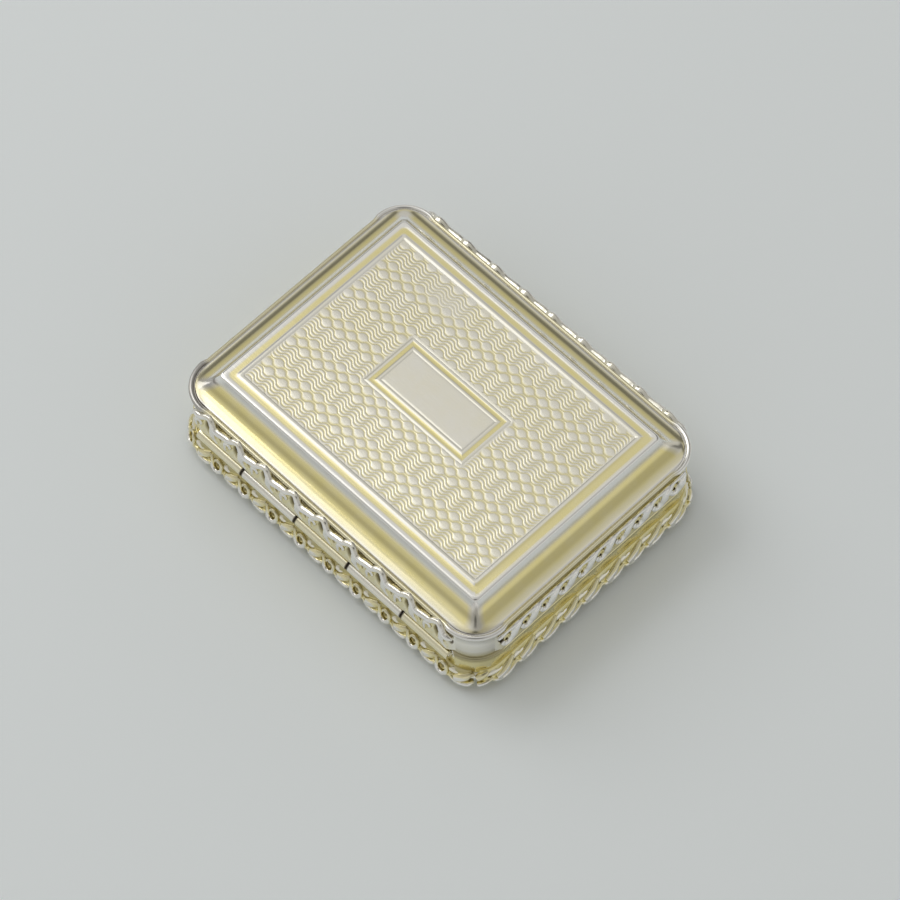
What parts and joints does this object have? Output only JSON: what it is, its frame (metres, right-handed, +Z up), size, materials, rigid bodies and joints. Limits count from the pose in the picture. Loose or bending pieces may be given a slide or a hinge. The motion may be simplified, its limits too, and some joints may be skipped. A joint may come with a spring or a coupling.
{
  "type": "vinaigrette",
  "caption": "Small hinged rectangular silver-gilt scent box with a hollow-sloped lid, scroll borders and a pierced inner grille over a sponge.",
  "frame": {"origin": "under the middle of the box, on the surface that it stands on", "axes": "+X along the long side, the lid's hinge on the +Y side, +Z up"},
  "size_m": [0.0388, 0.0298, 0.011],
  "materials": {
    "silver": "polished silver-gilt, worn to silver on the high places",
    "cast_border": "cast silver with gilding left in the hollows",
    "hinge_silver": "drawn silver tube, lightly worn",
    "gilt": "bright gilding",
    "sponge": "dry natural sponge"
  },
  "bodies": {
    "base": {"base_plate": "silver", "base_band": "gilt", "base_bezel": "gilt", "grille_ledge": "gilt", "base_border_front": "cast_border", "base_border_back": "cast_border", "base_border_left": "cast_border", "base_border_right": "cast_border", "hinge_knuckle_1": "hinge_silver", "hinge_knuckle_3": "hinge_silver", "hinge_knuckle_5": "hinge_silver", "hinge_pin": "hinge_silver", "grille_knuckle_1": "gilt", "grille_knuckle_3": "gilt", "grille_pin": "gilt", "sponge": "sponge"},
    "lid": {"lid_plate": "silver", "lid_band": "silver", "lid_border_front": "cast_border", "lid_border_back": "cast_border", "lid_border_left": "cast_border", "lid_border_right": "cast_border", "hinge_knuckle_2": "hinge_silver", "hinge_knuckle_4": "hinge_silver"},
    "grille": {"grille_plate": "gilt", "grille_knuckle_2": "gilt"}
  },
  "joints": [
    {"name": "lid_hinge", "type": "hinge", "parent": "base", "child": "lid", "pos_m": [0, 0.0144, 0.0046], "axis": [-1, 0, 0], "range_deg": [0, 105]},
    {"name": "grille_hinge", "type": "hinge", "parent": "base", "child": "grille", "pos_m": [0, 0.01275, 0.00417], "axis": [-1, 0, 0], "range_deg": [0, 84]}
  ],
  "couplings": [
    {"joint": "grille_hinge", "follows": "lid_hinge", "ratio": 0.8}
  ]
}
